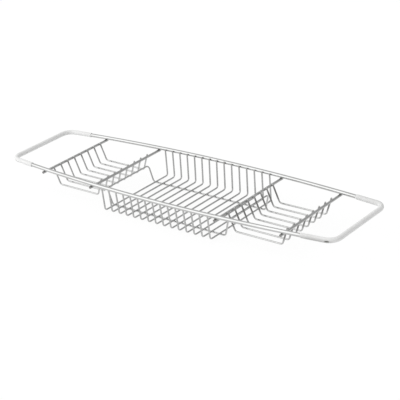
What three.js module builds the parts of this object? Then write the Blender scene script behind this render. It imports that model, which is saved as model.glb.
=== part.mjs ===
// Wire bath caddy: a rack that lies across a bath, with a deep basket between two shallow trays.
// One hoop of round steel rod is the frame. Its two ends wear soft vinyl sleeves, which rest on the
// bath's rims. Bent wires hang from its rails as the basket, and from four crossbars as the trays.
// All lengths are millimetres. X runs along the rack, Y from front to rear and Z up. The origin is
// under the middle of the rack, on the plane that the basket's floor loop stands on.

import * as THREE from 'three';

// Frame hoop, whose two rails bow outwards
const overallLength = 700;
const overallWidth = 187;
const railDiameter = 6.6;
const railBow = 20;
const cornerRadius = 18;

// Vinyl sleeves on the hoop's ends
const sleeveWall = 0.6;
const sleeveReach = 56;

// Clearance between pieces that touch
const seatGap = 0.3;

// Wires of the basket and the trays
const wireDiameter = 2.8;

// Basket, hung from the inner sides of the rails
const basketWireCount = 15;
const basketPitch = 16.4;
const basketDepth = 47.4;
const basketFloorWidth = 163;
const basketBendRadius = 5;

// How far the basket wires' tips run on past the spot where they touch the rail. The rear tips end a
// little above the rail's middle, and the front ones are cut off just short of that spot.
const basketRearTipRise = 1.3;
const basketFrontTipRise = -0.6;

// Loop under the basket's floor, with its two ends bent up as barriers
const loopWidth = 107;
const loopOverhang = 8.9;
const loopBendRadius = 6.5;
const barrierHeight = 29.5;
const barrierSpread = 8.5;

// Crossbars, straight rods welded under both rails
const crossbarDiameter = 4.5;
const crossbarOverrun = 0.8;

// Trays, hung from the inner sides of their crossbars. Each fills the hoop from the basket's gap
// to the hand hold that is left free at the hoop's end.
const basketGap = 20;
const handHold = 89;
const trayWireCount = 8;
const trayPitch = 17;
const trayDepth = 34.5;
const trayWallSpread = 15.2;
const trayBendRadius = 5.5;
const trayTipRise = 2.2;

// Facets
const wireSides = 8;
const crossbarSides = 10;
const railSides = 12;
const largestTurn = 0.37;
const railStretches = 10;

// Sizes that follow from those above
const wireRadius = wireDiameter / 2;
const railRadius = railDiameter / 2;
const crossbarRadius = crossbarDiameter / 2;
const sleeveBoreRadius = railRadius + seatGap;
const sleeveRadius = sleeveBoreRadius + sleeveWall;
const basketHalfLength = basketPitch * (basketWireCount - 1) / 2;

// Heights of the centre lines
const loopHeight = wireRadius * Math.cos(Math.PI / wireSides);
const basketFloorHeight = loopHeight + wireDiameter + seatGap;
const railHeight = basketFloorHeight + basketDepth;
const trayFloorHeight = railHeight - trayDepth;
const crossbarHeight = railHeight - railRadius - seatGap - crossbarRadius;

// The hoop's outline: each rail is an arc, each end a straight bar, and each corner a fillet
const endBarX = overallLength / 2 - sleeveRadius;
const railMiddleY = overallWidth / 2 - railRadius;
const railArcRadius = (endBarX ** 2 + railBow ** 2) / (2 * railBow);
const railArcCentreY = railMiddleY - railArcRadius;
const cornerX = endBarX - cornerRadius;
const cornerY = railArcCentreY + Math.sqrt((railArcRadius - cornerRadius) ** 2 - cornerX ** 2);
const railEndAngle = Math.atan2(cornerX, cornerY - railArcCentreY);
const sleeveEndAngle = Math.asin((endBarX - sleeveReach) / railArcRadius);

// Where the crossbars lie, and the lengths of the tray between them
const innerCrossbarX = basketHalfLength + basketGap;
const outerCrossbarX = endBarX - handHold;
const trayMiddleX = (innerCrossbarX + outerCrossbarX) / 2;
const trayHalfLength = (outerCrossbarX - innerCrossbarX) / 2;
const trayFloorHalfLength = trayHalfLength - trayWallSpread;

const steel = new THREE.MeshStandardMaterial({ color: 0xc4c6c6, roughness: 0.16, metalness: 1 });
const vinyl = new THREE.MeshStandardMaterial({ color: 0xe3e4e2, roughness: 0.5, metalness: 0 });

// The centre line of a rod, kept as stations: a point and a direction wherever the section is set
class RodPath extends THREE.Curve {
  constructor(stations, { closed = false, sectionTurn = 0 } = {}) {
    super();
    this.stations = stations;
    this.steps = closed ? stations.length : stations.length - 1;
    this.sectionTurn = sectionTurn;
  }

  stationAt(share) {
    return this.stations[Math.round(share * this.steps) % this.stations.length];
  }

  getPointAt(share, target = new THREE.Vector3()) {
    return target.copy(this.stationAt(share).point);
  }

  getTangentAt(share, target = new THREE.Vector3()) {
    return target.copy(this.stationAt(share).direction);
  }

  computeFrenetFrames(segments, closed) {
    const frames = super.computeFrenetFrames(segments, closed);
    frames.tangents.forEach((tangent, i) => {
      frames.normals[i].applyAxisAngle(tangent, this.sectionTurn);
      frames.binormals[i].applyAxisAngle(tangent, this.sectionTurn);
    });
    return frames;
  }
}

// A polygon with a flat side on each axis and its corners on the circle
function sectionPoints(radius, sides) {
  return Array.from({ length: sides }, (_, i) => {
    const angle = (i + 0.5) * 2 * Math.PI / sides;
    return new THREE.Vector2(radius * Math.cos(angle), radius * Math.sin(angle));
  });
}

function openRod(stations, radius, sides, boreRadius = 0) {
  const section = new THREE.Shape(sectionPoints(radius, sides));
  if (boreRadius > 0) section.holes.push(new THREE.Path(sectionPoints(boreRadius, sides)));
  const path = new RodPath(stations);
  return new THREE.ExtrudeGeometry(section, { steps: path.steps, extrudePath: path });
}

function closedRod(stations, radius, sides) {
  const path = new RodPath(stations, { closed: true, sectionTurn: Math.PI / sides });
  return new THREE.TubeGeometry(path, path.steps, radius, sides, true);
}

// Stations round one bend between two straight stretches
function bendStations(before, corner, after, bendRadius) {
  const arriving = corner.clone().sub(before).normalize();
  const leaving = after.clone().sub(corner).normalize();
  const turn = arriving.angleTo(leaving);
  const inward = leaving.clone().addScaledVector(arriving, -leaving.dot(arriving)).normalize();
  const centre = corner.clone()
    .addScaledVector(arriving, -bendRadius * Math.tan(turn / 2))
    .addScaledVector(inward, bendRadius);
  const steps = Math.ceil(turn / largestTurn);
  return Array.from({ length: steps + 1 }, (_, i) => {
    const angle = turn * i / steps;
    return {
      point: centre.clone()
        .addScaledVector(arriving, bendRadius * Math.sin(angle))
        .addScaledVector(inward, -bendRadius * Math.cos(angle)),
      direction: arriving.clone().multiplyScalar(Math.cos(angle))
        .addScaledVector(inward, Math.sin(angle)),
    };
  });
}

// Stations at the two ends of a straight rod
function straightRun(start, end) {
  const direction = end.clone().sub(start).normalize();
  return [{ point: start, direction }, { point: end, direction }];
}

// Stations of a rod that is bent at each corner of its centre line
function bentRun(corners, bendRadius, closed = false) {
  const count = corners.length;
  return corners.flatMap((corner, i) => {
    const before = corners[(i + count - 1) % count];
    const after = corners[(i + 1) % count];
    if (!closed && i === 0) return straightRun(corner, after).slice(0, 1);
    if (!closed && i === count - 1) return straightRun(before, corner).slice(1);
    return bendStations(before, corner, after, bendRadius);
  });
}

// Stations along an arc of the hoop. Angles turn clockwise from +Y, seen from above.
function arcStations(centreX, centreY, radius, angles) {
  return angles.map((angle) => ({
    point: new THREE.Vector3(
      centreX + radius * Math.sin(angle),
      centreY + radius * Math.cos(angle),
      railHeight,
    ),
    direction: new THREE.Vector3(Math.cos(angle), -Math.sin(angle), 0),
  }));
}

function evenAngles(from, to, stretches) {
  return Array.from({ length: stretches + 1 }, (_, i) => from + (to - from) * i / stretches);
}

// The right-hand end of the hoop, from the rear corner's start round to the front corner's end
function hoopEndStations() {
  const cornerStretches = Math.ceil((Math.PI / 2 - railEndAngle) / largestTurn);
  const rearAngles = evenAngles(railEndAngle, Math.PI / 2, cornerStretches);
  const frontAngles = evenAngles(Math.PI / 2, Math.PI - railEndAngle, cornerStretches);
  return [
    ...arcStations(cornerX, cornerY, cornerRadius, rearAngles),
    ...arcStations(cornerX, -cornerY, cornerRadius, frontAngles),
  ];
}

// The same stretch of the hoop on the other side of the rack's upright middle axis
function turnedHalfway(stations) {
  const halfTurn = ({ x, y, z }) => new THREE.Vector3(-x, -y, z);
  return stations.map(({ point, direction }) => ({
    point: halfTurn(point),
    direction: halfTurn(direction),
  }));
}

function hoopGeometry() {
  const railAngles = evenAngles(-sleeveEndAngle, sleeveEndAngle, railStretches);
  const rearRail = arcStations(0, railArcCentreY, railArcRadius, railAngles);
  const half = [...rearRail, ...hoopEndStations()];
  return closedRod([...half, ...turnedHalfway(half)], railRadius, railSides);
}

function sleeveGeometry() {
  const stations = [
    ...arcStations(0, railArcCentreY, railArcRadius, [sleeveEndAngle]),
    ...hoopEndStations(),
    ...arcStations(0, -railArcCentreY, railArcRadius, [Math.PI - sleeveEndAngle]),
  ];
  return openRod(stations, sleeveRadius, railSides, sleeveBoreRadius);
}

function railY(x) {
  return railArcCentreY + Math.sqrt(railArcRadius ** 2 - x ** 2);
}

// The tip of a wire that rises from a floor corner and is welded to the inner side of a bar.
// Both points are seen along the bar: first how far from the middle, then how high.
function wireTip(floorCorner, bar, barRadius, rise) {
  const offset = bar.clone().sub(floorCorner);
  const reach = offset.length();
  const standoff = barRadius + seatGap + wireRadius;
  const lean = Math.atan2(offset.x, offset.y) - Math.asin(standoff / reach);
  const length = Math.sqrt(reach ** 2 - standoff ** 2) + rise;
  return new THREE.Vector2(
    floorCorner.x + length * Math.sin(lean),
    floorCorner.y + length * Math.cos(lean),
  );
}

function basketWireGeometry(x) {
  const floorCorner = new THREE.Vector2(basketFloorWidth / 2, basketFloorHeight);
  const rail = new THREE.Vector2(railY(x), railHeight);
  const frontTip = wireTip(floorCorner, rail, railRadius, basketFrontTipRise);
  const rearTip = wireTip(floorCorner, rail, railRadius, basketRearTipRise);
  const corners = [
    new THREE.Vector3(0, -frontTip.x, frontTip.y),
    new THREE.Vector3(0, -floorCorner.x, floorCorner.y),
    new THREE.Vector3(0, floorCorner.x, floorCorner.y),
    new THREE.Vector3(0, rearTip.x, rearTip.y),
  ];
  return openRod(bentRun(corners, basketBendRadius), wireRadius, wireSides);
}

function basketLoopGeometry() {
  const floorX = basketHalfLength + loopOverhang;
  const barrierX = floorX + barrierSpread;
  const barrierZ = loopHeight + barrierHeight;
  const sideY = loopWidth / 2;
  const corners = [
    new THREE.Vector3(floorX, -sideY, loopHeight),
    new THREE.Vector3(barrierX, -sideY, barrierZ),
    new THREE.Vector3(barrierX, sideY, barrierZ),
    new THREE.Vector3(floorX, sideY, loopHeight),
    new THREE.Vector3(-floorX, sideY, loopHeight),
    new THREE.Vector3(-barrierX, sideY, barrierZ),
    new THREE.Vector3(-barrierX, -sideY, barrierZ),
    new THREE.Vector3(-floorX, -sideY, loopHeight),
  ];
  return closedRod(bentRun(corners, loopBendRadius, true), wireRadius, wireSides);
}

function crossbarGeometry(x) {
  const tipY = railY(x) + railRadius + crossbarOverrun;
  const front = new THREE.Vector3(0, -tipY, crossbarHeight);
  const rear = new THREE.Vector3(0, tipY, crossbarHeight);
  return openRod(straightRun(front, rear), crossbarRadius, crossbarSides);
}

function trayWireGeometry() {
  const floorCorner = new THREE.Vector2(trayFloorHalfLength, trayFloorHeight);
  const crossbar = new THREE.Vector2(trayHalfLength, crossbarHeight);
  const tip = wireTip(floorCorner, crossbar, crossbarRadius, trayTipRise);
  const corners = [
    new THREE.Vector3(-tip.x, 0, tip.y),
    new THREE.Vector3(-floorCorner.x, 0, floorCorner.y),
    new THREE.Vector3(floorCorner.x, 0, floorCorner.y),
    new THREE.Vector3(tip.x, 0, tip.y),
  ];
  return openRod(bentRun(corners, trayBendRadius), wireRadius, wireSides);
}

function placed(name, geometry, material, x = 0, y = 0) {
  const mesh = new THREE.Mesh(geometry, material.clone());
  mesh.name = name;
  mesh.position.set(x, y, 0);
  return mesh;
}

function frame() {
  const leftSleeve = placed('left_sleeve', sleeveGeometry(), vinyl);
  leftSleeve.rotation.z = Math.PI;
  const rightSleeve = placed('right_sleeve', sleeveGeometry(), vinyl);
  return [placed('frame_hoop', hoopGeometry(), steel), leftSleeve, rightSleeve];
}

// Basket wires are numbered from left to right
function basket() {
  const wires = Array.from({ length: basketWireCount }, (_, i) => {
    const x = i * basketPitch - basketHalfLength;
    const name = `basket_wire_${String(i + 1).padStart(2, '0')}`;
    return placed(name, basketWireGeometry(x), steel, x);
  });
  return [...wires, placed('basket_loop', basketLoopGeometry(), steel)];
}

// Tray wires are numbered from front to rear
function tray(side, direction) {
  const inner = crossbarGeometry(innerCrossbarX);
  const outer = crossbarGeometry(outerCrossbarX);
  const wire = trayWireGeometry();
  const wires = Array.from({ length: trayWireCount }, (_, i) => {
    const y = (i - (trayWireCount - 1) / 2) * trayPitch;
    return placed(`${side}_tray_wire_${i + 1}`, wire, steel, direction * trayMiddleX, y);
  });
  return [
    placed(`${side}_inner_crossbar`, inner, steel, direction * innerCrossbarX),
    placed(`${side}_outer_crossbar`, outer, steel, direction * outerCrossbarX),
    ...wires,
  ];
}

const caddy = new THREE.Group();
caddy.add(...frame(), ...basket(), ...tray('left', -1), ...tray('right', 1));

export default caddy;
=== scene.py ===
# %% [markdown]
# # A chromed wire bath caddy
# The real rack is one loop of thick rod that lies across a bath, with bent wires welded to it as a
# basket and two trays, and a soft sleeve on each end. All the steel is welded first and chromed after,
# so the plating runs unbroken over rods, cut ends and welds.
# The construction model has the right sizes, but its rods have eight to twelve flat sides. In this
# lesson every rod gets a round skin on the same centre line, its bends flatten a little as bent wire
# does, its ends look sheared or tumbled, and a small fillet of metal joins it to what it is welded to.

# %% Load the construction model
import math
import random

import bmesh
import bpy
from mathutils import Matrix, Vector


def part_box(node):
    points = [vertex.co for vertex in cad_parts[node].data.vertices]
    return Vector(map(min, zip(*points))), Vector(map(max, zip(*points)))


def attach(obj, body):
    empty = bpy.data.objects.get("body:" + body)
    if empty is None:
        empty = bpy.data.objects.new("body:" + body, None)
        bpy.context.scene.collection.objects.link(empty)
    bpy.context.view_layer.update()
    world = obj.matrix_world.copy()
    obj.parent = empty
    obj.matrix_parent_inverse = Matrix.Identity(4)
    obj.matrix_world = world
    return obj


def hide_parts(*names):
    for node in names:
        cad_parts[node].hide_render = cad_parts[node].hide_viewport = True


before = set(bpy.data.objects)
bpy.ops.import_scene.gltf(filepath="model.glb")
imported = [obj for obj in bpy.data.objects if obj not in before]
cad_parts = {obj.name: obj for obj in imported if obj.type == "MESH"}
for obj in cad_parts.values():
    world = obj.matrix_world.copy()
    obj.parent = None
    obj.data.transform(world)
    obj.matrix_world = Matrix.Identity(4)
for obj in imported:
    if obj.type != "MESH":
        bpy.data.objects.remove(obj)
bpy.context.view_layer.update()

MM = 0.001

# %% [markdown]
# ## Sizes
# A wire rack is drawn from few sizes: three thicknesses of stock, the outline of the big loop, and how
# deep and how wide each basket hangs. They are named here in metres, because Blender works in metres.
# Once all the pieces are made, a cell compares them with the construction model's own boxes.

# %% Sizes of the frame
rail_radius = 3.3 * MM
wire_radius = 1.4 * MM
crossbar_radius = 2.25 * MM
sleeve_radius = 4.2 * MM
seat_gap = 0.3 * MM

overall_length = 700 * MM
overall_width = 187 * MM
rail_bow = 20 * MM
corner_radius = 18 * MM
sleeve_reach = 56 * MM

# %% Sizes of the basket and the trays
basket_wire_count = 15
basket_pitch = 16.4 * MM
basket_depth = 47.4 * MM
basket_floor_width = 163 * MM
basket_bend_radius = 5 * MM
basket_rear_tip_rise = 1.3 * MM
basket_front_tip_rise = -0.6 * MM

loop_width = 107 * MM
loop_overhang = 8.9 * MM
loop_bend_radius = 6.5 * MM
barrier_height = 29.5 * MM
barrier_spread = 8.5 * MM

crossbar_overrun = 0.8 * MM

basket_gap = 20 * MM
hand_hold = 89 * MM
tray_wire_count = 8
tray_pitch = 17 * MM
tray_depth = 34.5 * MM
tray_wall_spread = 15.2 * MM
tray_bend_radius = 5.5 * MM
tray_tip_rise = 2.2 * MM

# %% [markdown]
# ## Heights and outline
# The rack stands on the loop under its basket, so heights build up from there: loop, basket floor,
# rails. The construction model's wires have eight sides and stand on a flat one, which is a little nearer
# to the centre line than a round wire's surface. The rails are very flat arcs with a radius near three
# metres, and each corner is a fillet between such an arc and the straight end bar.

# %% Heights of the centre lines
SOLID_SIDES = 8
loop_height = wire_radius * math.cos(math.pi / SOLID_SIDES)
basket_floor_height = loop_height + 2 * wire_radius + seat_gap
rail_height = basket_floor_height + basket_depth
tray_floor_height = rail_height - tray_depth
crossbar_height = rail_height - rail_radius - seat_gap - crossbar_radius
print("rails at", round(rail_height / MM, 2), "mm, tray floors at", round(tray_floor_height / MM, 2), "mm")

# %% Outline of the loop
end_bar_x = overall_length / 2 - sleeve_radius
rail_middle_y = overall_width / 2 - rail_radius
rail_arc_radius = (end_bar_x ** 2 + rail_bow ** 2) / (2 * rail_bow)
rail_arc_centre_y = rail_middle_y - rail_arc_radius
corner_x = end_bar_x - corner_radius
corner_y = rail_arc_centre_y + math.sqrt((rail_arc_radius - corner_radius) ** 2 - corner_x ** 2)
rail_end_angle = math.atan2(corner_x, corner_y - rail_arc_centre_y)
sleeve_end_angle = math.asin((end_bar_x - sleeve_reach) / rail_arc_radius)

basket_half_length = basket_pitch * (basket_wire_count - 1) / 2
inner_crossbar_x = basket_half_length + basket_gap
outer_crossbar_x = end_bar_x - hand_hold
tray_middle_x = (inner_crossbar_x + outer_crossbar_x) / 2
tray_half_length = (outer_crossbar_x - inner_crossbar_x) / 2
tray_floor_half_length = tray_half_length - tray_wall_spread
print("rail arc radius", round(rail_arc_radius, 3), "m, crossbars at", round(inner_crossbar_x / MM, 1),
      "and", round(outer_crossbar_x / MM, 1), "mm")


def rail_y(x):
    """How far a rail's centre lies from the rack's long middle line"""
    return rail_arc_centre_y + math.sqrt(rail_arc_radius ** 2 - x ** 2)


# %% [markdown]
# ## Centre lines
# Wire is straight until a bending pin turns it, so a wire's centre line is a list of corners, each
# rounded by the pin's radius. Blender's curve objects could do this, but their bevel keeps one round
# section all the way. Points made in code leave room to flatten the section where the wire is bent.

# %% Points along a bent rod
BEND_STEP = math.radians(7)
STRAIGHT_STEP = 6 * MM


def between(start, end):
    """Points on the straight stretch from start to end, without its two ends"""
    count = max(1, math.ceil((end - start).length / STRAIGHT_STEP))
    return [start.lerp(end, i / count) for i in range(1, count)]


def bend(before, corner, after, radius):
    """Points round one bend, from where the wire leaves one straight to where it joins the next"""
    arriving = (corner - before).normalized()
    leaving = (after - corner).normalized()
    turn = arriving.angle(leaving)
    inward = (leaving - arriving * leaving.dot(arriving)).normalized()
    centre = corner - arriving * radius * math.tan(turn / 2) + inward * radius
    count = math.ceil(turn / BEND_STEP)
    angles = [turn * i / count for i in range(count + 1)]
    return [centre + (arriving * math.sin(a) - inward * math.cos(a)) * radius for a in angles]


def bent_rod(corners, radius, closed=False):
    """Points of a rod that is bent at each corner"""
    count = len(corners)
    stretches = []
    for i, corner in enumerate(corners):
        if closed or 0 < i < count - 1:
            stretches.append(bend(corners[i - 1], corner, corners[(i + 1) % count], radius))
        else:
            stretches.append([corner])
    points = []
    for i, stretch in enumerate(stretches):
        points += stretch
        if closed or i < count - 1:
            points += between(stretch[-1], stretches[(i + 1) % count][0])
    return points


def lengths_along(points):
    """How far each point is from the first, along the line"""
    lengths = [0.0]
    for a, b in zip(points, points[1:]):
        lengths.append(lengths[-1] + (b - a).length)
    return lengths


# %% [markdown]
# ## Rods
# A rod is swept: a ring of points travels along the centre line, and faces join each ring to the next.
# The ring must not spin on the way, so its side vector is only ever turned as far as the direction
# turns. A closed loop comes back with a small twist left over, which is shared out over all its rings.
# Three facts are stored on the points for the materials: where a point lies in the rod's own space, how
# near it is to a weld or to a spot of painted shade, and whether it is on a sheared end.

# %% Directions along a rod
def directions(points, closed):
    """The rod's direction at each point"""
    before = points[-1:] + points[:-1] if closed else points[:1] + points[:-1]
    after = points[1:] + points[:1] if closed else points[1:] + points[-1:]
    return [(b - a).normalized() for a, b in zip(before, after)]


def side_vectors(headings, closed):
    """A vector across the rod at each point, which never spins about the rod"""
    side = headings[0].orthogonal().normalized()
    sides = [side]
    for before, heading in zip(headings, headings[1:]):
        side = side.copy()
        side.rotate(before.rotation_difference(heading))
        sides.append(side)
    if closed:
        back = sides[-1].copy()
        back.rotate(headings[-1].rotation_difference(headings[0]))
        twist = math.atan2(back.cross(sides[0]).dot(headings[0]), back.dot(sides[0]))
        for i, (side, heading) in enumerate(zip(sides, headings)):
            side.rotate(Matrix.Rotation(twist * i / len(sides), 3, heading))
    return sides


def bend_vectors(points, headings, closed):
    """Towards the inside of the bend at each point, as long as the curvature"""
    count = len(points)
    result = []
    for i in range(count):
        after = (i + 1) % count
        run = (points[after] - points[i - 1]).length
        result.append((headings[after] - headings[i - 1]) / run)
    if not closed:
        result[0] = result[-1] = Vector((0, 0, 0))
    return result


# %% The skin of a rod
BEND_FLATTENING = 0.22
MOST_FLATTENING = 0.06
SHEARED_ROUND = 0.3 * MM
TUMBLED_ROUND = 1.1 * MM
END_RINGS = 6
CUT_RING_SHARES = (0.15, 0.4, 0.72)
CUT_ROUGHNESS = 0.05 * MM
CUT_TILT = math.radians(4)
LEAST_TILT_SHARE = 0.3


def circle(count):
    """Angles spread evenly round a circle"""
    return [2 * math.pi * k / count for k in range(count)]


def ring_offsets(side, heading, bending, radius, sides):
    """Offsets from the centre line to the points of one ring, pressed a little where the rod bends"""
    up = heading.cross(side)
    pressed = min(MOST_FLATTENING, BEND_FLATTENING * radius * bending.length)
    inward = bending.normalized()
    offsets = []
    for angle in circle(sides):
        across = side * math.cos(angle) + up * math.sin(angle)
        offsets.append((across - inward * across.dot(inward) * pressed) * radius)
    return offsets


def join_rings(shape, rings, closed):
    """Faces from each ring to the next"""
    for near, far in zip(rings, rings[1:] + rings[:1] if closed else rings[1:]):
        for k in range(len(near)):
            after = (k + 1) % len(near)
            shape.faces.new((near[k], near[after], far[after], far[k]))


def make_rod(name, points, radius, sides, closed=False, welds=(), seed=0, end_round=SHEARED_ROUND):
    """A mesh object with a round skin on the centre line"""
    chance = random.Random(seed)
    headings = directions(points, closed)
    cross = side_vectors(headings, closed)
    bending = bend_vectors(points, headings, closed)
    along = lengths_along(points)
    shape = bmesh.new()
    rings = []
    space = []
    cut = []

    def add_ring(i, size=1.0, shift=0.0, lean=0.0, lean_angle=0.0, rough=0.0, on_cut=0.0):
        ring = []
        offsets = ring_offsets(cross[i], headings[i], bending[i], radius, sides)
        for angle, offset in zip(circle(sides), offsets):
            slope = lean * size * radius * math.cos(angle - lean_angle)
            push = shift + slope + chance.uniform(-rough, rough)
            ring.append(shape.verts.new(points[i] + offset * size + headings[i] * push))
            space.append((radius * size * math.cos(angle), radius * size * math.sin(angle), along[i] + push))
            cut.append(on_cut)
        rings.append(ring)

    def add_end(i, outward):
        """Rings of a sheared end. Outward is -1 for the first end and 1 for the last."""
        lean = math.tan(CUT_TILT) * chance.uniform(LEAST_TILT_SHARE, 1.0)
        lean_angle = chance.uniform(0, 2 * math.pi)
        flat_share = 1 - end_round / radius
        face = [(share * flat_share, 0.0, CUT_ROUGHNESS, 1.0) for share in CUT_RING_SHARES]
        for k in range(END_RINGS + 1):
            angle = 0.5 * math.pi * k / END_RINGS
            share = 1 - end_round / radius * (1 - math.sin(angle))
            face.append((share, end_round * (1 - math.cos(angle)), 0.0, 1.0 - k / END_RINGS))
        for size, inset, rough, on_cut in face if outward < 0 else reversed(face):
            add_ring(i, size, -outward * inset, lean, lean_angle, rough, on_cut)

    for i in range(len(points)):
        if closed or 0 < i < len(points) - 1:
            add_ring(i)
        else:
            add_end(i, 1 if i else -1)
    join_rings(shape, rings, closed)
    if not closed:
        shape.faces.new(reversed(rings[0]))
        shape.faces.new(rings[-1])
    return finish_mesh(name, shape, space, cut, welds)


# %% From points to a mesh object
FAR_FROM_WELDS = 9.0


def add_object(name, data):
    """A new object in the scene, such as a mesh, a lamp or a camera"""
    thing = bpy.data.objects.new(name, data)
    bpy.context.scene.collection.objects.link(thing)
    return thing


def finish_mesh(name, shape, space, cut, welds):
    """Turns the points into an object and stores the facts that the materials read"""
    bmesh.ops.recalc_face_normals(shape, faces=shape.faces)
    for face in shape.faces:
        face.smooth = True
    mesh = bpy.data.meshes.new(name)
    shape.to_mesh(mesh)
    shape.free()
    # How near each point is to a weld or to a spot of painted shade, for the darkening round it
    heat_and_shade = []
    for vertex in mesh.vertices:
        nearest = min(((vertex.co - weld).length / reach for weld, reach in welds), default=FAR_FROM_WELDS)
        heat_and_shade.append(math.exp(-(nearest ** 2)))
    flat_space = [v for point in space for v in point]
    mesh.attributes.new("rod_space", "FLOAT_VECTOR", "POINT").data.foreach_set("vector", flat_space)
    for fact, values in (("weld_and_shade_nearness", heat_and_shade), ("cut_end", cut)):
        mesh.attributes.new(fact, "FLOAT", "POINT").data.foreach_set("value", values)
    return add_object(name, mesh)


# %% Pieces that stand for solids
stands_for = {}


def stand_in(piece, node):
    """Lets a piece ride with the rack in place of one solid of the construction model"""
    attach(piece, "root")
    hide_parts(node)
    stands_for[node] = piece


# %% [markdown]
# ## Welds
# Two rods that cross are welded by pressing them together and sending a current through the crossing.
# The metal melts there, and a little of it is squeezed out into a fillet round the contact. The fillet
# is a short waisted plug with one rim on each rod. Both rims follow the rods, so it is shaped like a
# saddle. Welds stand for no solid of the construction model, which leaves a hair of air between two rods
# instead. They ride on the rack as the rods do.

# %% How far the darkening round a weld reaches: weld heat and painted shade
RAIL_WELD_REACH = 3.0 * MM
LOOP_WELD_REACH = 1.7 * MM
TRAY_WELD_REACH = 0.9 * MM
# The crossbars' long reach paints shade on them next to the rails
BAR_WELD_REACH = 6.5 * MM


def weld_points(crossings, reach):
    """Where the welds are, each with how far the darkening round it reaches, from heat and from painted
    shade
    """
    return [((lower[0] + upper[0]) / 2, reach) for lower, upper in crossings]


# %% One fillet between two crossing rods
WELD_SHARE = 0.84
WELD_WAIST_SHARE = 0.45
WELD_LOBE = 0.06
WELD_SUNK = 0.12 * MM
WELD_STEPS = 7
WELD_SIDES = 22


def on_rod(rod, offset, towards):
    """The point of a rod's surface that lies under an offset in the plane of contact"""
    centre, axis, radius = rod
    across = (offset - axis * offset.dot(axis)).length
    return centre + offset + towards * math.sqrt(max(radius ** 2 - across ** 2, 0.0))


def add_weld(shape, space, lower, upper, chance):
    """Adds a fillet to the shape. Each rod is its centre, its axis and its radius at the crossing."""
    centre, axis, radius = lower
    normal = (upper[0] - centre).normalized()
    side = (axis - normal * axis.dot(normal)).normalized()
    up = normal.cross(side)
    reach = WELD_SHARE * min(radius, upper[2])
    lobes = [(n, chance.uniform(0, WELD_LOBE), chance.uniform(0, 2 * math.pi)) for n in (1, 2, 3)]
    columns = []
    for angle in circle(WELD_SIDES):
        spread = reach * (1 + sum(size * math.cos(n * angle + start) for n, size, start in lobes))
        offset = (side * math.cos(angle) + up * math.sin(angle)) * spread
        foot = on_rod(lower, offset, normal) - normal * WELD_SUNK
        head = on_rod(upper, offset, -normal) + normal * WELD_SUNK
        inner = offset * WELD_WAIST_SHARE
        waist = (on_rod(lower, inner, normal) + on_rod(upper, inner, -normal)) / 2
        column = []
        for step in range(WELD_STEPS + 1):
            t = step / WELD_STEPS
            point = foot * (1 - t) ** 2 + waist * 2 * t * (1 - t) + head * t ** 2
            column.append(shape.verts.new(point))
            space.append((spread * math.cos(angle), spread * math.sin(angle), t * reach))
        columns.append(column)
    for here, there in zip(columns, columns[1:] + columns[:1]):
        for step in range(WELD_STEPS):
            shape.faces.new((here[step], there[step], there[step + 1], here[step + 1]))
    shape.faces.new([column[0] for column in reversed(columns)])
    shape.faces.new([column[-1] for column in columns])


weld_pieces = []


def make_welds(name, crossings, reach, seed):
    """One object that holds the fillets of a row of crossings. Reach is how far their darkening reaches,
    from heat and painted shade.
    """
    chance = random.Random(seed)
    shape = bmesh.new()
    space = []
    for lower, upper in crossings:
        add_weld(shape, space, lower, upper, chance)
    piece = finish_mesh(name, shape, space, [0.0] * len(space), weld_points(crossings, reach))
    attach(piece, "root")
    weld_pieces.append(piece)
    print(name, "has", len(crossings), "welds")


# %% [markdown]
# ## Where the rods cross
# A wire's tip leans against the inner side of a bar. The wire's straight leg is tangent to the bar, so
# the lean follows from the distance to the bar and from how far apart the two centre lines must stay.
# The same sum gives the tip of the wire and the spot where it is welded.

# %% The leg of a wire against a bar
def leg_against_bar(corner, bar, bar_radius, rise):
    """In the plane across the bar: the leg's tip, its direction, and the spot nearest to the bar"""
    offset = bar - corner
    standoff = bar_radius + seat_gap + wire_radius
    lean = math.atan2(offset.x, offset.y) - math.asin(standoff / offset.length)
    heading = Vector((math.sin(lean), math.cos(lean)))
    reach = math.sqrt(offset.length ** 2 - standoff ** 2)
    weld_reach = min(reach, reach + rise - wire_radius)
    return corner + heading * (reach + rise), heading, corner + heading * weld_reach


# %% [markdown]
# ## The basket
# Fifteen wires, bent to a shallow U, hang from the inner sides of the two rails. Because the rails bow,
# the end wires stand a little steeper than the middle ones, although all have the same floor.

# %% Basket wires
WIRE_SIDES = 20
basket_wires = []
rail_crossings = []
loop_crossings = []
side_y = loop_width / 2
UP = Vector((0, 0, 1))
ALONG = Vector((1, 0, 0))
ACROSS = Vector((0, 1, 0))


def rail_at(x, side):
    """A rail at x: its centre, its axis and its radius. Side is -1 for the front rail and 1 for the rear."""
    rail_axis = Vector((1, -side * math.tan(math.asin(x / rail_arc_radius)), 0)).normalized()
    return Vector((x, side * rail_y(x), rail_height)), rail_axis, rail_radius


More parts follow.
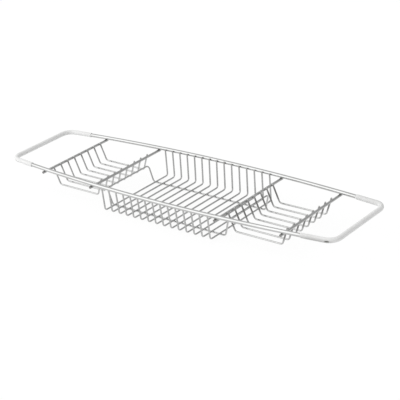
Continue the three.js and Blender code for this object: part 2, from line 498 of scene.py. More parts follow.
floor_corner = Vector((basket_floor_width / 2, basket_floor_height))
for i in range(basket_wire_count):
    x = i * basket_pitch - basket_half_length
    bar = Vector((rail_y(x), rail_height))
    legs = []
    crossings = []
    for side, rise in ((-1, basket_front_tip_rise), (1, basket_rear_tip_rise)):
        tip, heading, seat = leg_against_bar(floor_corner, bar, rail_radius, rise)
        legs.append([Vector((x, side * end.x, end.y)) for end in (tip, floor_corner)])
        leg = (Vector((x, side * seat.x, seat.y)), Vector((0, side * heading.x, heading.y)), wire_radius)
        crossings.append((rail_at(x, side), leg))
        run = (Vector((x, side * side_y, loop_height)), ALONG, wire_radius)
        floor = (Vector((x, side * side_y, basket_floor_height)), ACROSS, wire_radius)
        loop_crossings.append((run, floor))
    rail_crossings += crossings
    spots = weld_points(crossings, RAIL_WELD_REACH) + weld_points(loop_crossings[-2:], LOOP_WELD_REACH)
    name = f"wire_of_basket_{i + 1:02d}"
    points = bent_rod(legs[0] + legs[1][::-1], basket_bend_radius)
    piece = make_rod(name, points, wire_radius, WIRE_SIDES, welds=spots, seed=100 + i)
    stand_in(piece, f"basket_wire_{i + 1:02d}")
    basket_wires.append(piece)
print(len(basket_wires), "basket wires, points in each:", len(basket_wires[0].data.vertices))

# %% [markdown]
# ## The loop under the basket
# One closed loop of the same wire carries the basket's floor. Its two ends are bent up and outwards, and
# stop things from sliding out of the basket's open ends.

# %% Floor loop
floor_x = basket_half_length + loop_overhang
barrier_x = floor_x + barrier_spread
barrier_top = loop_height + barrier_height
right_corners = [(floor_x, -side_y, loop_height), (barrier_x, -side_y, barrier_top),
                 (barrier_x, side_y, barrier_top), (floor_x, side_y, loop_height)]
loop_corners = [Vector(corner) for corner in right_corners]
loop_corners += [Vector((-x, y, z)) for x, y, z in reversed(right_corners)]
loop_points = bent_rod(loop_corners, loop_bend_radius, closed=True)
floor_loop = make_rod("floor_loop", loop_points, wire_radius, WIRE_SIDES, closed=True,
                      welds=weld_points(loop_crossings, LOOP_WELD_REACH))
stand_in(floor_loop, "basket_loop")

make_welds("basket_rail_welds", rail_crossings, RAIL_WELD_REACH, seed=1)
make_welds("basket_loop_welds", loop_crossings, LOOP_WELD_REACH, seed=2)

# %% [markdown]
# ## Crossbars
# Four heavier rods are welded under the rails and carry the trays. They are straight, and their ends are
# sheared off just outside the rails, so each is the same swept rod without a bend in it.

# %% Four crossbars
CROSSBAR_SIDES = 26
crossbar_crossings = []


def crossbar_points(x):
    """Centre line of the crossbar at x, from front to rear"""
    tip = rail_y(x) + rail_radius + crossbar_overrun
    return bent_rod([Vector((x, side * tip, crossbar_height)) for side in (-1, 1)], 0)


def rail_over_crossbar(x, side):
    """The crossing of a crossbar and the rail above it"""
    bar = (Vector((x, side * rail_y(x), crossbar_height)), ACROSS, crossbar_radius)
    return bar, rail_at(x, side)


# %% [markdown]
# ## Trays
# Eight wires make each tray. They hang on the inner sides of two crossbars, and their tips end just above
# the bars. A hand reaches in here, so these tips were tumbled until they are nearly domed, where the
# basket's wires only have a sheared end with its burr taken off.

# %% Tray wires
# Painted shade down the tray legs: where it is darkest, as a share of the leg from its weld, and how far it
# reaches
LEFT_LEG_SHADE = (0.15, 4 * MM)
RIGHT_LEG_SHADE = (0.4, 15 * MM)


def make_tray(side, direction, leg_shade, seed):
    """A tray's wires, crossbars and welds. Its legs get painted shade, darkest at a share of their length,
    over a reach.
    """
    middle = direction * tray_middle_x
    shade_share, shade_reach = leg_shade
    floor_corner = Vector((tray_floor_half_length, tray_floor_height))
    bar_spot = Vector((tray_half_length, crossbar_height))
    tip, heading, seat = leg_against_bar(floor_corner, bar_spot, crossbar_radius, tray_tip_rise)
    tray_crossings = []
    wires = []
    bars = []
    for i in range(tray_wire_count):
        y = (i - (tray_wire_count - 1) / 2) * tray_pitch
        legs = []
        shade_spots = []
        for way in (-1, 1):
            post, joint, top, foot = [Vector((middle + way * spot.x, y, spot.y))
                                      for spot in (bar_spot, seat, tip, floor_corner)]
            leg_axis = Vector((way * heading.x, 0, heading.y))
            tray_crossings.append(((post, ACROSS, crossbar_radius), (joint, leg_axis, wire_radius)))
            shade_spots.append((joint.lerp(foot, shade_share), shade_reach))
            legs.append([top, foot])
        points = bent_rod(legs[0] + legs[1][::-1], tray_bend_radius)
        name = f"wire_of_{side}_tray_{i + 1}"
        wire = make_rod(name, points, wire_radius, WIRE_SIDES, welds=shade_spots, seed=seed + i,
                        end_round=TUMBLED_ROUND)
        stand_in(wire, f"{side}_tray_wire_{i + 1}")
        wires.append(wire)
    for place, x in (("inner", inner_crossbar_x), ("outer", outer_crossbar_x)):
        x *= direction
        ends = [rail_over_crossbar(x, way) for way in (-1, 1)]
        crossbar_crossings.extend(ends)
        spots = weld_points(ends, BAR_WELD_REACH)
        name = f"bar_{side}_{place}"
        bar = make_rod(name, crossbar_points(x), crossbar_radius, CROSSBAR_SIDES, welds=spots, seed=seed)
        stand_in(bar, f"{side}_{place}_crossbar")
        bars.append(bar)
    make_welds(f"{side}_tray_welds", tray_crossings, TRAY_WELD_REACH, seed)
    return wires, bars


left_wires, left_bars = make_tray("left", -1, LEFT_LEG_SHADE, seed=200)
right_wires, right_bars = make_tray("right", 1, RIGHT_LEG_SHADE, seed=300)
make_welds("crossbar_rail_welds", crossbar_crossings, BAR_WELD_REACH, seed=3)
print(len(left_wires + right_wires), "tray wires on", len(left_bars + right_bars), "crossbars")

# %% [markdown]
# ## The hoop
# The frame is the one thick rod. It is bent round four corners and butt welded into a closed hoop. The
# join is ground flush, and here it lies under the left sleeve, where such joins are usually put.

# %% Arcs of the hoop
RAIL_STEP = 8 * MM


def arc_points(centre_x, centre_y, radius, start, end):
    """Points on a level arc. Angles turn clockwise from straight back, seen from above."""
    count = max(math.ceil(abs(end - start) / BEND_STEP), math.ceil(abs(end - start) * radius / RAIL_STEP))
    angles = [start + (end - start) * i / count for i in range(count + 1)]
    return [Vector((centre_x + radius * math.sin(angle), centre_y + radius * math.cos(angle), rail_height))
            for angle in angles]


def end_points(direction, first_angle, last_angle):
    """Centre line round one end: a stretch of rail, two corners with the end bar between, and a rail"""
    quarter = math.pi / 2
    far_angle = math.pi - rail_end_angle
    rear_rail = arc_points(0, rail_arc_centre_y, rail_arc_radius, first_angle, rail_end_angle)
    rear_corner = arc_points(corner_x, corner_y, corner_radius, rail_end_angle, quarter)
    front_corner = arc_points(corner_x, -corner_y, corner_radius, quarter, far_angle)
    front_rail = arc_points(0, -rail_arc_centre_y, rail_arc_radius, far_angle, last_angle)
    end_bar = between(rear_corner[-1], front_corner[0])
    points = rear_rail + rear_corner[1:] + end_bar + front_corner + front_rail[1:]
    return [Vector((p.x * direction, p.y * direction, p.z)) for p in points]


# %% The hoop's rod
RAIL_SIDES = 32
right_half = end_points(1, 0.0, math.pi)
left_half = end_points(-1, 0.0, math.pi)
half_count = len(left_half) // 2
hoop_points = left_half[half_count:-1] + right_half[:-1] + left_half[:half_count]
hoop_welds = weld_points(rail_crossings + crossbar_crossings, RAIL_WELD_REACH)
hoop = make_rod("hoop_rod", hoop_points, rail_radius, RAIL_SIDES, closed=True, welds=hoop_welds)
stand_in(hoop, "frame_hoop")
hoop_length = lengths_along(hoop_points + hoop_points[:1])[-1]
print("the hoop takes", round(hoop_length, 3), "m of rod")

# %% [markdown]
# ## Sleeves
# A length of soft vinyl tube is pushed round each end before the hoop is closed. It keeps the steel off
# the bath's enamel. The tube is a real tube here, with a bore, a wall and two rounded lips. Where it
# goes round a corner its inner side has too much length, so it gathers into faint ripples.

# %% The skin of a sleeve
SLEEVE_SIDES = 36
SLEEVE_STEP = 1.0 * MM
BORE_PLAY = 0.04 * MM
LIP_STEPS = 6
RIPPLE_LENGTH = 2.6 * MM
RIPPLE_HEIGHT = 0.11 * MM
LIP_WAVE = 0.35 * MM
LIP_THINNING = 0.3 * MM
LIP_LENGTH = 3 * MM


def evenly_spaced(points, step):
    """The same line with its points a fixed distance apart"""
    lengths = lengths_along(points)
    count = math.ceil(lengths[-1] / step)
    result = []
    k = 0
    for i in range(count + 1):
        target = lengths[-1] * i / count
        while k < len(lengths) - 2 and lengths[k + 1] < target:
            k += 1
        share = (target - lengths[k]) / (lengths[k + 1] - lengths[k])
        result.append(points[k].lerp(points[k + 1], share))
    return result


def make_sleeve(name, direction, seed):
    """A vinyl tube round one end of the hoop"""
    chance = random.Random(seed)
    line = end_points(direction, sleeve_end_angle, math.pi - sleeve_end_angle)
    points = evenly_spaced(line, SLEEVE_STEP)
    headings = directions(points, False)
    cross = side_vectors(headings, False)
    bending = bend_vectors(points, headings, False)
    bore = rail_radius + BORE_PLAY
    wall = (sleeve_radius - bore) / 2
    middle = (sleeve_radius + bore) / 2
    waves = [[chance.uniform(0, 2 * math.pi) for _ in range(2)] for _ in range(2)]
    last = len(points) - 1

    def lip(i, outward):
        """Half a turn round the wall's edge at one end"""
        angles = [math.pi * k / LIP_STEPS for k in range(LIP_STEPS + 1)]
        return [(i, middle + outward * wall * math.cos(a), outward * wall * math.sin(a)) for a in angles]

    profile = lip(0, -1) + [(i, sleeve_radius, 0.0) for i in range(1, last)]
    profile += lip(last, 1) + [(i, bore, 0.0) for i in range(last - 1, 0, -1)]

    shape = bmesh.new()
    space = []
    rings = []
    for i, radius, shift in profile:
        ring = []
        up = headings[i].cross(cross[i])
        outside = max(0.0, (radius - bore) / (sleeve_radius - bore))
        inset = wall if i == 0 else -wall if i == last else 0.0
        phases = waves[0] if i <= last / 2 else waves[1]
        near_lip = math.exp(-min(i, last - i) * SLEEVE_STEP / LIP_LENGTH)
        for angle in circle(SLEEVE_SIDES):
            out = cross[i] * math.cos(angle) + up * math.sin(angle)
            inner_side = max(0.0, out.dot(bending[i]) * corner_radius)
            ripple = math.sin(2 * math.pi * i * SLEEVE_STEP / RIPPLE_LENGTH + phases[0])
            size = radius - RIPPLE_HEIGHT * outside * inner_side ** 2 * (0.5 + 0.5 * ripple)
            size -= LIP_THINNING * outside * near_lip
            wave = LIP_WAVE * near_lip * math.sin(angle + phases[1])
            along = headings[i] * (shift + inset + wave)
            ring.append(shape.verts.new(points[i] + out * size + along))
            space.append((size * math.cos(angle), size * math.sin(angle), i * SLEEVE_STEP))
        rings.append(ring)
    join_rings(shape, rings, True)
    piece = finish_mesh(name, shape, space, [0.0] * len(space), [])
    stand_in(piece, name.replace("vinyl", "sleeve"))
    return piece


left_vinyl = make_sleeve("left_vinyl", -1, seed=11)
right_vinyl = make_sleeve("right_vinyl", 1, seed=12)
print("points in a sleeve:", len(left_vinyl.data.vertices))

# %% [markdown]
# ## Measuring
# Each piece's lowest and highest corners are set against those of the solid that it stands for, which
# finds a wrong size better than looking does.

# %% Pieces against the construction model
def box_difference(piece, node):
    """How far the piece's box and the solid's box differ at most"""
    lowest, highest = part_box(node)
    most = 0.0
    for axis in range(3):
        places = [vertex.co[axis] for vertex in piece.data.vertices]
        most = max(most, abs(min(places) - lowest[axis]), abs(max(places) - highest[axis]))
    return most


differences = {node: box_difference(piece, node) for node, piece in stands_for.items()}
worst = max(differences, key=differences.get)
print(len(differences), "pieces measured")
print("the most different is", worst, "by", round(differences[worst] / MM, 2), "mm")

# %% [markdown]
# ## Tools for materials
# A material is a small network of nodes. A few helpers keep the cells below short: one fills a socket
# with a number or another node's output, one makes a node, and the rest are sums that come back often.
# Effects that several finishes share are made once as node groups, and each material gives them its own
# sizes.

# %% Helpers for nodes
def plug(tree, socket, value):
    """Fills a socket from another socket, or sets it to a number, colour or vector"""
    if isinstance(value, bpy.types.NodeSocket):
        tree.links.new(value, socket)
    else:
        socket.default_value = value


def add_node(tree, kind, fillers=None, **options):
    """A new node with its own options, such as an operation, and what goes into its sockets"""
    node = tree.nodes.new(kind)
    for option, value in options.items():
        setattr(node, option, value)
    for socket, value in (fillers or {}).items():
        plug(tree, node.inputs[socket], value)
    return node


def sum_of(tree, operation, *values):
    """The result of one operation on values"""
    return add_node(tree, "ShaderNodeMath", dict(enumerate(values)), operation=operation).outputs[0]


def weighted(tree, start, *parts):
    """The start plus each part's value times its weight"""
    for value, weight in parts:
        start = sum_of(tree, "MULTIPLY_ADD", value, weight, start)
    return start


def ramp_between(tree, value, low, high, at_low=0.0, at_high=1.0):
    """A smooth step: at_low where the value is below low, at_high where it is above high"""
    fillers = {"Value": value, "From Min": low, "From Max": high, "To Min": at_low, "To Max": at_high}
    return add_node(tree, "ShaderNodeMapRange", fillers, interpolation_type="SMOOTHSTEP").outputs["Result"]


def painted(tree, colour, *coats):
    """A colour with others laid over it in turn, each by its share from 0 to 1"""
    for share, coat in coats:
        colour = add_node(tree, "ShaderNodeMix", {0: share, 6: colour, 7: coat}, data_type="RGBA").outputs[2]
    return colour


# %% Helpers for places and patterns
def vector_sum(tree, operation, *places):
    """The results of one operation on places"""
    return add_node(tree, "ShaderNodeVectorMath", dict(enumerate(places)), operation=operation).outputs


def scaled(tree, place, sizes):
    """A place divided by a size on each axis, so that a pattern has that size in metres"""
    size = add_node(tree, "ShaderNodeCombineXYZ", dict(enumerate(sizes))).outputs[0]
    return vector_sum(tree, "DIVIDE", place, size)[0]


def spots_away(tree, place, middle, sizes):
    """How far a place is from the middle of a spot, in sizes of the spot"""
    offset = vector_sum(tree, "SUBTRACT", place, middle)[0]
    return vector_sum(tree, "LENGTH", scaled(tree, offset, sizes))["Value"]


def noise(tree, place, detail, roughness=0.5):
    """A soft random value near 0.5, about one unit across"""
    fillers = {"Vector": place, "Scale": 1.0, "Detail": detail, "Roughness": roughness}
    return add_node(tree, "ShaderNodeTexNoise", fillers).outputs["Fac"]


# %% Helpers for node groups
def new_effect(name, result, *numbers):
    """A node group that takes a place and some numbers. Gives the group, its inputs and its result."""
    group = bpy.data.node_groups.new(name, "ShaderNodeTree")
    group.interface.new_socket("Place", in_out="INPUT", socket_type="NodeSocketVector")
    for label in numbers:
        group.interface.new_socket(label, in_out="INPUT", socket_type="NodeSocketFloat")
    group.interface.new_socket(result, in_out="OUTPUT", socket_type="NodeSocketFloat")
    print("made effect", name)
    return group, add_node(group, "NodeGroupInput").outputs, add_node(group, "NodeGroupOutput").inputs[0]


def use_effect(tree, effect, **fillers):
    """Places an effect in a material and fills its sockets by name"""
    return add_node(tree, "ShaderNodeGroup", fillers, node_tree=effect).outputs[0]


# %% [markdown]
# ## Effects on the steel
# Rod is drawn through a die, which leaves faint lines along it that chrome copies. Plating also has a
# slight waviness of a few millimetres that makes reflections swim. Drops that dry on a bath rack leave
# pale rims. Each is a group: noise stretched along the rod, plain noise, and rings round scattered
# points. Their sizes are real ones, in metres.

# %% Lines from drawing the rod
drawn_lines, given, height = new_effect("drawn_lines", "Height", "Width", "Length")
line_place = scaled(drawn_lines, given["Place"], (given["Width"], given["Width"], given["Length"]))
plug(drawn_lines, height, noise(drawn_lines, line_place, detail=3.0, roughness=0.6))

# %% Soft waves of the surface
soft_waves, given, height = new_effect("soft_waves", "Height", "Size")
wave_place = scaled(soft_waves, given["Place"], [given["Size"]] * 3)
plug(soft_waves, height, noise(soft_waves, wave_place, detail=1.5))

# %% Rims of dried drops
SMALLEST_DROP = 0.12
DROP_SPREAD = 0.25
DROP_RIM = 0.05
FILM_EDGE = 0.1
FILM_STRENGTH = 0.3
water_marks, given, mask = new_effect("water_marks", "Mask", "Size")
drop_place = scaled(water_marks, given["Place"], [given["Size"]] * 3)
drops = add_node(water_marks, "ShaderNodeTexVoronoi", {"Scale": 1.0, "Vector": drop_place}).outputs
chances = add_node(water_marks, "ShaderNodeSeparateColor", {0: drops["Color"]}).outputs
drop_radius = sum_of(water_marks, "MULTIPLY_ADD", chances[0], DROP_SPREAD, SMALLEST_DROP)
from_rim = sum_of(water_marks, "SUBTRACT", drops["Distance"], drop_radius)
off_rim = sum_of(water_marks, "ABSOLUTE", from_rim)
rim = ramp_between(water_marks, off_rim, low=0.0, high=DROP_RIM, at_low=1.0, at_high=0.0)
film = ramp_between(water_marks, from_rim, low=-FILM_EDGE, high=0.0, at_low=FILM_STRENGTH, at_high=0.0)
rim_or_film = sum_of(water_marks, "MAXIMUM", rim, film)
left_a_mark = ramp_between(water_marks, chances[1], low=0.45, high=0.6)
plug(water_marks, mask, sum_of(water_marks, "MULTIPLY", rim_or_film, left_a_mark))

# %% [markdown]
# ## Wear
# Things slide along the trays and the rails, and the rack is pushed along the bath. That leaves short
# hair scratches in patches. They are thin slices of noise stretched one way, kept only where a second,
# much larger noise is high. The sleeves carry the same effect with wider marks.

# %% Hair scratches in patches
SCUFF_TURN = (0.5, 0.35, 0.9)
scuffs, given, mask = new_effect("scuffs", "Mask", "Width", "Length", "Patch")
turned = add_node(scuffs, "ShaderNodeVectorRotate", {"Vector": given["Place"], "Rotation": SCUFF_TURN},
                  rotation_type="EULER_XYZ").outputs[0]
hair_place = scaled(scuffs, turned, (given["Width"], given["Length"], given["Length"]))
patch_place = scaled(scuffs, given["Place"], [given["Patch"]] * 3)
hairs = noise(scuffs, hair_place, detail=1.0)
patches = noise(scuffs, patch_place, detail=1.0)
hair_mask = ramp_between(scuffs, hairs, low=0.60, high=0.68)
patch_mask = ramp_between(scuffs, patches, low=0.46, high=0.62)
plug(scuffs, mask, sum_of(scuffs, "MULTIPLY", hair_mask, patch_mask))

# %% Dull metal from weld heat, and painted shade
HEAT_AND_SHADE_GRAIN = 0.9 * MM
# Darkens plating round welds, partly as dull plating from weld heat and partly as painted shade where rods
# meet; on the tray legs it is painted shade only
weld_heat_and_shade, given, mask = new_effect("weld_heat_and_shade", "Mask", "Nearness")
uneven = noise(weld_heat_and_shade, scaled(weld_heat_and_shade, given["Place"], [HEAT_AND_SHADE_GRAIN] * 3), detail=2.0)
broken = sum_of(weld_heat_and_shade, "MULTIPLY_ADD", uneven, 0.5, -0.25)
heat_and_shade = sum_of(weld_heat_and_shade, "ADD", given["Nearness"], broken)
plug(weld_heat_and_shade, mask, ramp_between(weld_heat_and_shade, heat_and_shade, low=0.3, high=0.9))

# %% [markdown]
# ## Chrome
# Chromium is a neutral metal that reflects a little over half of the light. The hoop is polished before
# plating and stays clear. The tray wires and the loop get a bright finish, the basket's wires are plated
# as drawn and so are duller, and the crossbars, which sit deepest in the plater's rack, are dull too.
# The fillets of the welds are the greyest. All come from one function with their own numbers, and their
# small differences of tone are partly painted light and shade. Round a weld the plating is darker: thin,
# grey plating from the weld's heat, and painted shade where the rods meet. The tray legs, the right
# tray's most, carry painted shade. A sheared end is torn and painted darker as painted shade, and a
# tumbled tip is pale.

# %% What every material of the rack needs
BUMP_DEPTH = 0.02 * MM


def new_material(name):
    """A material, its tree, the sockets of its shader, and the place of each point on the rack"""
    material = bpy.data.materials.new(name)
    material.use_nodes = True
    tree = material.node_tree
    place = add_node(tree, "ShaderNodeTexCoord").outputs["Object"]
    print("made material", name)
    return material, tree, tree.nodes["Principled BSDF"].inputs, place


def stored(tree, fact, output="Fac"):
    """A fact that is stored on the points of a mesh"""
    return add_node(tree, "ShaderNodeAttribute", attribute_name=fact).outputs[output]


def emboss(tree, shader, height):
    """Presses a height into the surface"""
    bump = add_node(tree, "ShaderNodeBump", {"Strength": 1.0, "Distance": BUMP_DEPTH, "Height": height})
    plug(tree, shader["Normal"], bump.outputs["Normal"])


# %% A function for chromed steel
WELD_HEAT_AND_SHADE_GREY = (0.13, 0.127, 0.122, 1)
LIMESCALE = (0.66, 0.66, 0.64, 1)
LINE_DULLNESS = 0.07


def chromed_steel(name, light, dark, cut_end_tone, roughness, line_width, heat_and_shade_strength):
    """A material for chromed rod. Light and dark are the two tones that its plating drifts between."""
    material, tree, shader, place = new_material(name)
    rod_place = stored(tree, "rod_space", "Vector")
    cut = stored(tree, "cut_end")
    lines = use_effect(tree, drawn_lines, Place=rod_place, Width=line_width, Length=45 * MM)
    waves = use_effect(tree, soft_waves, Place=place, Size=3.5 * MM)
    drift = use_effect(tree, soft_waves, Place=place, Size=38 * MM)
    grain = use_effect(tree, soft_waves, Place=place, Size=0.35 * MM)
    marks = use_effect(tree, water_marks, Place=place, Size=13 * MM)
    hairs = use_effect(tree, scuffs, Place=place, Width=0.12 * MM, Length=5 * MM, Patch=30 * MM)
    heat_and_shade = use_effect(tree, weld_heat_and_shade, Place=place, Nearness=stored(tree, "weld_and_shade_nearness"))
    heat_and_shade = sum_of(tree, "MULTIPLY", heat_and_shade, heat_and_shade_strength)

    colour = painted(tree, dark, (ramp_between(tree, drift, low=0.35, high=0.65), light),
                     (sum_of(tree, "MULTIPLY", marks, 0.22), LIMESCALE), (heat_and_shade, WELD_HEAT_AND_SHADE_GREY), (cut, cut_end_tone))
    plug(tree, shader["Base Color"], colour)
    plug(tree, shader["Metallic"], 1)
    plug(tree, shader["Specular Tint"], (0.9, 0.9, 0.9, 1))
    dull = weighted(tree, roughness - LINE_DULLNESS / 2, (lines, LINE_DULLNESS), (marks, 0.16),
                    (hairs, 0.18), (heat_and_shade, 0.22), (cut, 0.35))
    plug(tree, shader["Roughness"], dull)
    torn = sum_of(tree, "MULTIPLY", sum_of(tree, "ADD", cut, heat_and_shade), grain)
    emboss(tree, shader, weighted(tree, 0.0, (lines, 0.12), (waves, 0.5), (hairs, -0.06), (torn, 1.2)))
    return material


# %% Chrome on the pieces
# Sheared ends are painted darker: painted shade and dark reflection on the cut ends
CUT_END_SHADE = (0.30, 0.295, 0.29, 1)
FILED_METAL = (0.36, 0.355, 0.35, 1)
PLATED_TIP = (0.72, 0.715, 0.71, 1)
# The small differences of tone between these finishes are partly painted light and shade, lighter for the
# rods that catch more light
# After the pieces: light and dark tone, cut end tone, roughness, width of the drawn lines, strength of weld
# heat and painted shade
for name, pieces, *look in (
        ("rod_chrome", [hoop],
         (0.530, 0.532, 0.529, 1), (0.490, 0.492, 0.488, 1), CUT_END_SHADE, 0.09, 0.40 * MM, 0.75),
        ("bar_chrome", left_bars + right_bars,
         (0.485, 0.486, 0.483, 1), (0.445, 0.446, 0.442, 1), CUT_END_SHADE, 0.20, 0.30 * MM, 0.38),
        ("wire_chrome", basket_wires,
         (0.485, 0.487, 0.484, 1), (0.445, 0.447, 0.443, 1), FILED_METAL, 0.20, 0.22 * MM, 0.75),
        ("tray_chrome", [floor_loop, *left_wires, *right_wires],
         (0.515, 0.517, 0.514, 1), (0.475, 0.477, 0.473, 1), PLATED_TIP, 0.10, 0.22 * MM, 0.70),
        ("weld_chrome", weld_pieces,
         (0.360, 0.360, 0.356, 1), (0.300, 0.300, 0.296, 1), CUT_END_SHADE, 0.30, 0.22 * MM, 0.80)):
    finish = chromed_steel(name, *look)
    for piece in pieces:
        piece.data.materials.append(finish)
    print(name, "is on", len(pieces), "pieces")

# %% [markdown]
# ## Vinyl
# The sleeves are soft, milky vinyl. Light goes a little way into it, but in so thin a wall that adds
# grain to the render and hardly changes the shading, so the softness comes from a pale colour and a
# satin gloss. Its whiteness is cloudy, its surface has a faint matt waviness from the extruder, and it is
# scuffed in patches. The right sleeve is greyer along its lower front and on its rear run, which is
# painted shade, and has one dark spot, pressed in a little, at its front corner.

# %% Painted shade and a dark spot on the right sleeve
# Each spot is its middle and its size on each axis
# A dark spot at the front corner of the right sleeve, also pressed in a little
DARK_CORNER_SPOT = ((0.3354, -0.0750, 0.0515), (5.0 * MM, 4.0 * MM, 1.8 * MM))
# Painted shade: a greyer zone along the right sleeve's lower front, and one on its rear run
FRONT_SHADE_SPOT = ((0.3220, -0.0800, 0.0475), (75 * MM, 12 * MM, 11 * MM))
REAR_SHADE_SPOT = ((0.3250, 0.0780, 0.0520), (60 * MM, 18 * MM, 18 * MM))

# %% Vinyl of the sleeves
MILK_DARK = (0.770, 0.771, 0.766, 1)
MILK_LIGHT = (0.806, 0.808, 0.805, 1)
SCUFF_GREY = (0.50, 0.49, 0.47, 1)
DROP_WHITE = (0.88, 0.88, 0.86, 1)
# The grey of the painted shade comes next, then the dark of the corner spot
PAINTED_SHADE_GREY = (0.43, 0.43, 0.425, 1)
CORNER_SPOT_DARK = (0.12, 0.117, 0.112, 1)
vinyl, tree, shader, place = new_material("milky_vinyl")
tube_place = stored(tree, "rod_space", "Vector")
clouds = use_effect(tree, soft_waves, Place=place, Size=16 * MM)
matt = use_effect(tree, soft_waves, Place=place, Size=0.9 * MM)
die_lines = use_effect(tree, drawn_lines, Place=tube_place, Width=0.8 * MM, Length=60 * MM)
rubs = use_effect(tree, scuffs, Place=place, Width=0.3 * MM, Length=4 * MM, Patch=18 * MM)
marks = use_effect(tree, water_marks, Place=place, Size=15 * MM)
from_dark_spot, from_front_shade, from_rear_shade = [spots_away(tree, place, middle, sizes)
                                     for middle, sizes in (DARK_CORNER_SPOT, FRONT_SHADE_SPOT, REAR_SHADE_SPOT)]
ragged = weighted(tree, from_dark_spot, (matt, 0.5))
dark_spot = ramp_between(tree, ragged, low=0.75, high=1.25, at_low=1.0, at_high=0.0)
front_shade = ramp_between(tree, from_front_shade, low=0.2, high=1.1, at_low=0.9, at_high=0.0)
rear_shade = ramp_between(tree, from_rear_shade, low=0.3, high=1.2, at_low=0.4, at_high=0.0)

colour = painted(tree, MILK_DARK, (ramp_between(tree, clouds, low=0.3, high=0.7), MILK_LIGHT),
                 (sum_of(tree, "MULTIPLY", rubs, 0.12), SCUFF_GREY),
                 (sum_of(tree, "MULTIPLY", marks, 0.10), DROP_WHITE),
                 (front_shade, PAINTED_SHADE_GREY), (rear_shade, PAINTED_SHADE_GREY), (dark_spot, CORNER_SPOT_DARK))
plug(tree, shader["Base Color"], colour)
plug(tree, shader["Roughness"], weighted(tree, 0.34, (matt, 0.12), (rubs, 0.18)))
plug(tree, shader["IOR"], 1.45)
emboss(tree, shader, weighted(tree, 0.0, (matt, 0.35), (die_lines, 0.5), (rubs, -0.25), (dark_spot, -1.0)))
for piece in (left_vinyl, right_vinyl):
    piece.data.materials.append(vinyl)

# %% [markdown]
# ## Floor
# The photograph's ground is plain white with next to no shadow. A floor that only scatters light would
# render as grey, so the camera and the metal's reflections see mostly a white glow, with a little plain
# paper in it that catches the rack's soft shadow. For all other light the floor is plain paper.

# %% White floor
FLOOR_SIZE = 60.0
FLOOR_GLOW = 1.04
GLOW_SHARE = 0.85
half = FLOOR_SIZE / 2
floor_mesh = bpy.data.meshes.new("floor")
floor_corners = [(-half, -half, 0), (half, -half, 0), (half, half, 0), (-half, half, 0)]
floor_mesh.from_pydata(floor_corners, [], [(0, 1, 2, 3)])
floor_piece = add_object("floor", floor_mesh)

paper, tree, _, place = new_material("white_paper")
tree.nodes.remove(tree.nodes["Principled BSDF"])
pulp = use_effect(tree, soft_waves, Place=place, Size=60 * MM)
tone = painted(tree, (0.85, 0.85, 0.85, 1), (pulp, (0.87, 0.87, 0.87, 1)))
diffuse = add_node(tree, "ShaderNodeBsdfDiffuse", {"Color": tone}).outputs[0]
glow = add_node(tree, "ShaderNodeEmission", {"Strength": FLOOR_GLOW}).outputs[0]
ray = add_node(tree, "ShaderNodeLightPath").outputs
seen = sum_of(tree, "MAXIMUM", ray["Is Camera Ray"], ray["Is Glossy Ray"])
seen = sum_of(tree, "MAXIMUM", seen, ray["Is Transmission Ray"])
share = sum_of(tree, "MULTIPLY", seen, GLOW_SHARE)
blend = add_node(tree, "ShaderNodeMixShader", {0: share, 1: diffuse, 2: glow}).outputs[0]
plug(tree, tree.nodes["Material Output"].inputs["Surface"], blend)
floor_piece.data.materials.append(paper)
print("floor", FLOOR_SIZE, "m across")

# %% [markdown]
# ## Light
# Chrome has no colour of its own: it shows the studio. In the photograph the long rods are brighter than
# the short ones, so the light comes from the left. The sky here is one smooth gradient, pale on the left
# and grey on the right, and its brightest part is what the long rods mirror as a line down their middle.
# Being a sky, it looks the same from every point of the rack. A softbox above gives gentle shadows.

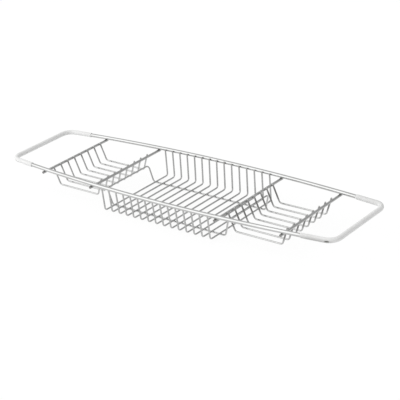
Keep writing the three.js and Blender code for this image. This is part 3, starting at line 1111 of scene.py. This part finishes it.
# %% Sky, pale on the left
LIGHT_FROM = Vector((-0.66, -0.63, 0.42)).normalized()
SKY_STEPS = ((-0.65, 0.54), (-0.14, 0.70), (0.10, 0.78), (0.40, 0.80), (0.74, 0.90), (0.86, 1.40),
             (0.94, 2.00))
BRIGHTEST = SKY_STEPS[-1][1]
world = bpy.data.worlds.new("studio")
bpy.context.scene.world = world
world.use_nodes = True
tree = world.node_tree
heading = add_node(tree, "ShaderNodeTexCoord").outputs["Generated"]
closeness = vector_sum(tree, "DOT_PRODUCT", heading, LIGHT_FROM)["Value"]
sky_ramp = add_node(tree, "ShaderNodeValToRGB", {0: sum_of(tree, "MULTIPLY_ADD", closeness, 0.5, 0.5)})
stops = sky_ramp.color_ramp.elements
while len(stops) < len(SKY_STEPS):
    stops.new(0.5)
for stop, (step, level) in zip(stops, SKY_STEPS):
    stop.position = 0.5 + 0.5 * step
    grey = level / BRIGHTEST
    stop.color = (grey, grey, grey, 1)
sky = tree.nodes["Background"]
plug(tree, sky.inputs["Color"], sky_ramp.outputs["Color"])
plug(tree, sky.inputs["Strength"], BRIGHTEST)
print("sky from", SKY_STEPS[0][1], "to", SKY_STEPS[-1][1])

# %% Softbox
lamp = bpy.data.lights.new("top_softbox", "AREA")
lamp.shape = "SQUARE"
lamp.size = 1.5
lamp.energy = 5.0
softbox = add_object("top_softbox", lamp)
softbox.location = (-0.35, -0.45, 2.2)
softbox.rotation_mode = "QUATERNION"
softbox.rotation_quaternion = softbox.location.to_track_quat("Z", "Y")
print("softbox at", [round(v, 2) for v in softbox.location], "m")

# %% [markdown]
# ## Camera
# The camera stands where the photographer stood. Its angles and its lens were fitted to the photograph
# with the rack's even pitch as the ruler. It is a long lens, so parallel rods stay nearly parallel. The
# camera is tipped six degrees to one side, so that upright things lean a little to the left.

# %% Camera
azimuth = math.radians(41.8138)
elevation = math.radians(24.5973)
roll = math.radians(-5.9854)
distance = 2.1033
aim_right = 0.02154
aim_up = -0.03617
lens = 113.301

outward = Vector((math.sin(azimuth), -math.cos(azimuth), 0))
back = outward * math.cos(elevation) + UP * math.sin(elevation)
level_right = Vector((math.cos(azimuth), math.sin(azimuth), 0))
level_up = back.cross(level_right)
right = level_right * math.cos(roll) + level_up * math.sin(roll)
up = level_up * math.cos(roll) - level_right * math.sin(roll)
camera_data = bpy.data.cameras.new("camera")
camera_data.lens = lens
camera_data.sensor_width = 36
camera_data.clip_start = 0.05
camera_data.clip_end = 100
camera = add_object("camera", camera_data)
turn = Matrix((right, up, back)).transposed()
place = UP * rail_height + back * distance + level_right * aim_right + level_up * aim_up
camera.matrix_world = Matrix.Translation(place) @ turn.to_4x4()
bpy.context.scene.camera = camera
bpy.context.scene.view_settings.view_transform = "Standard"
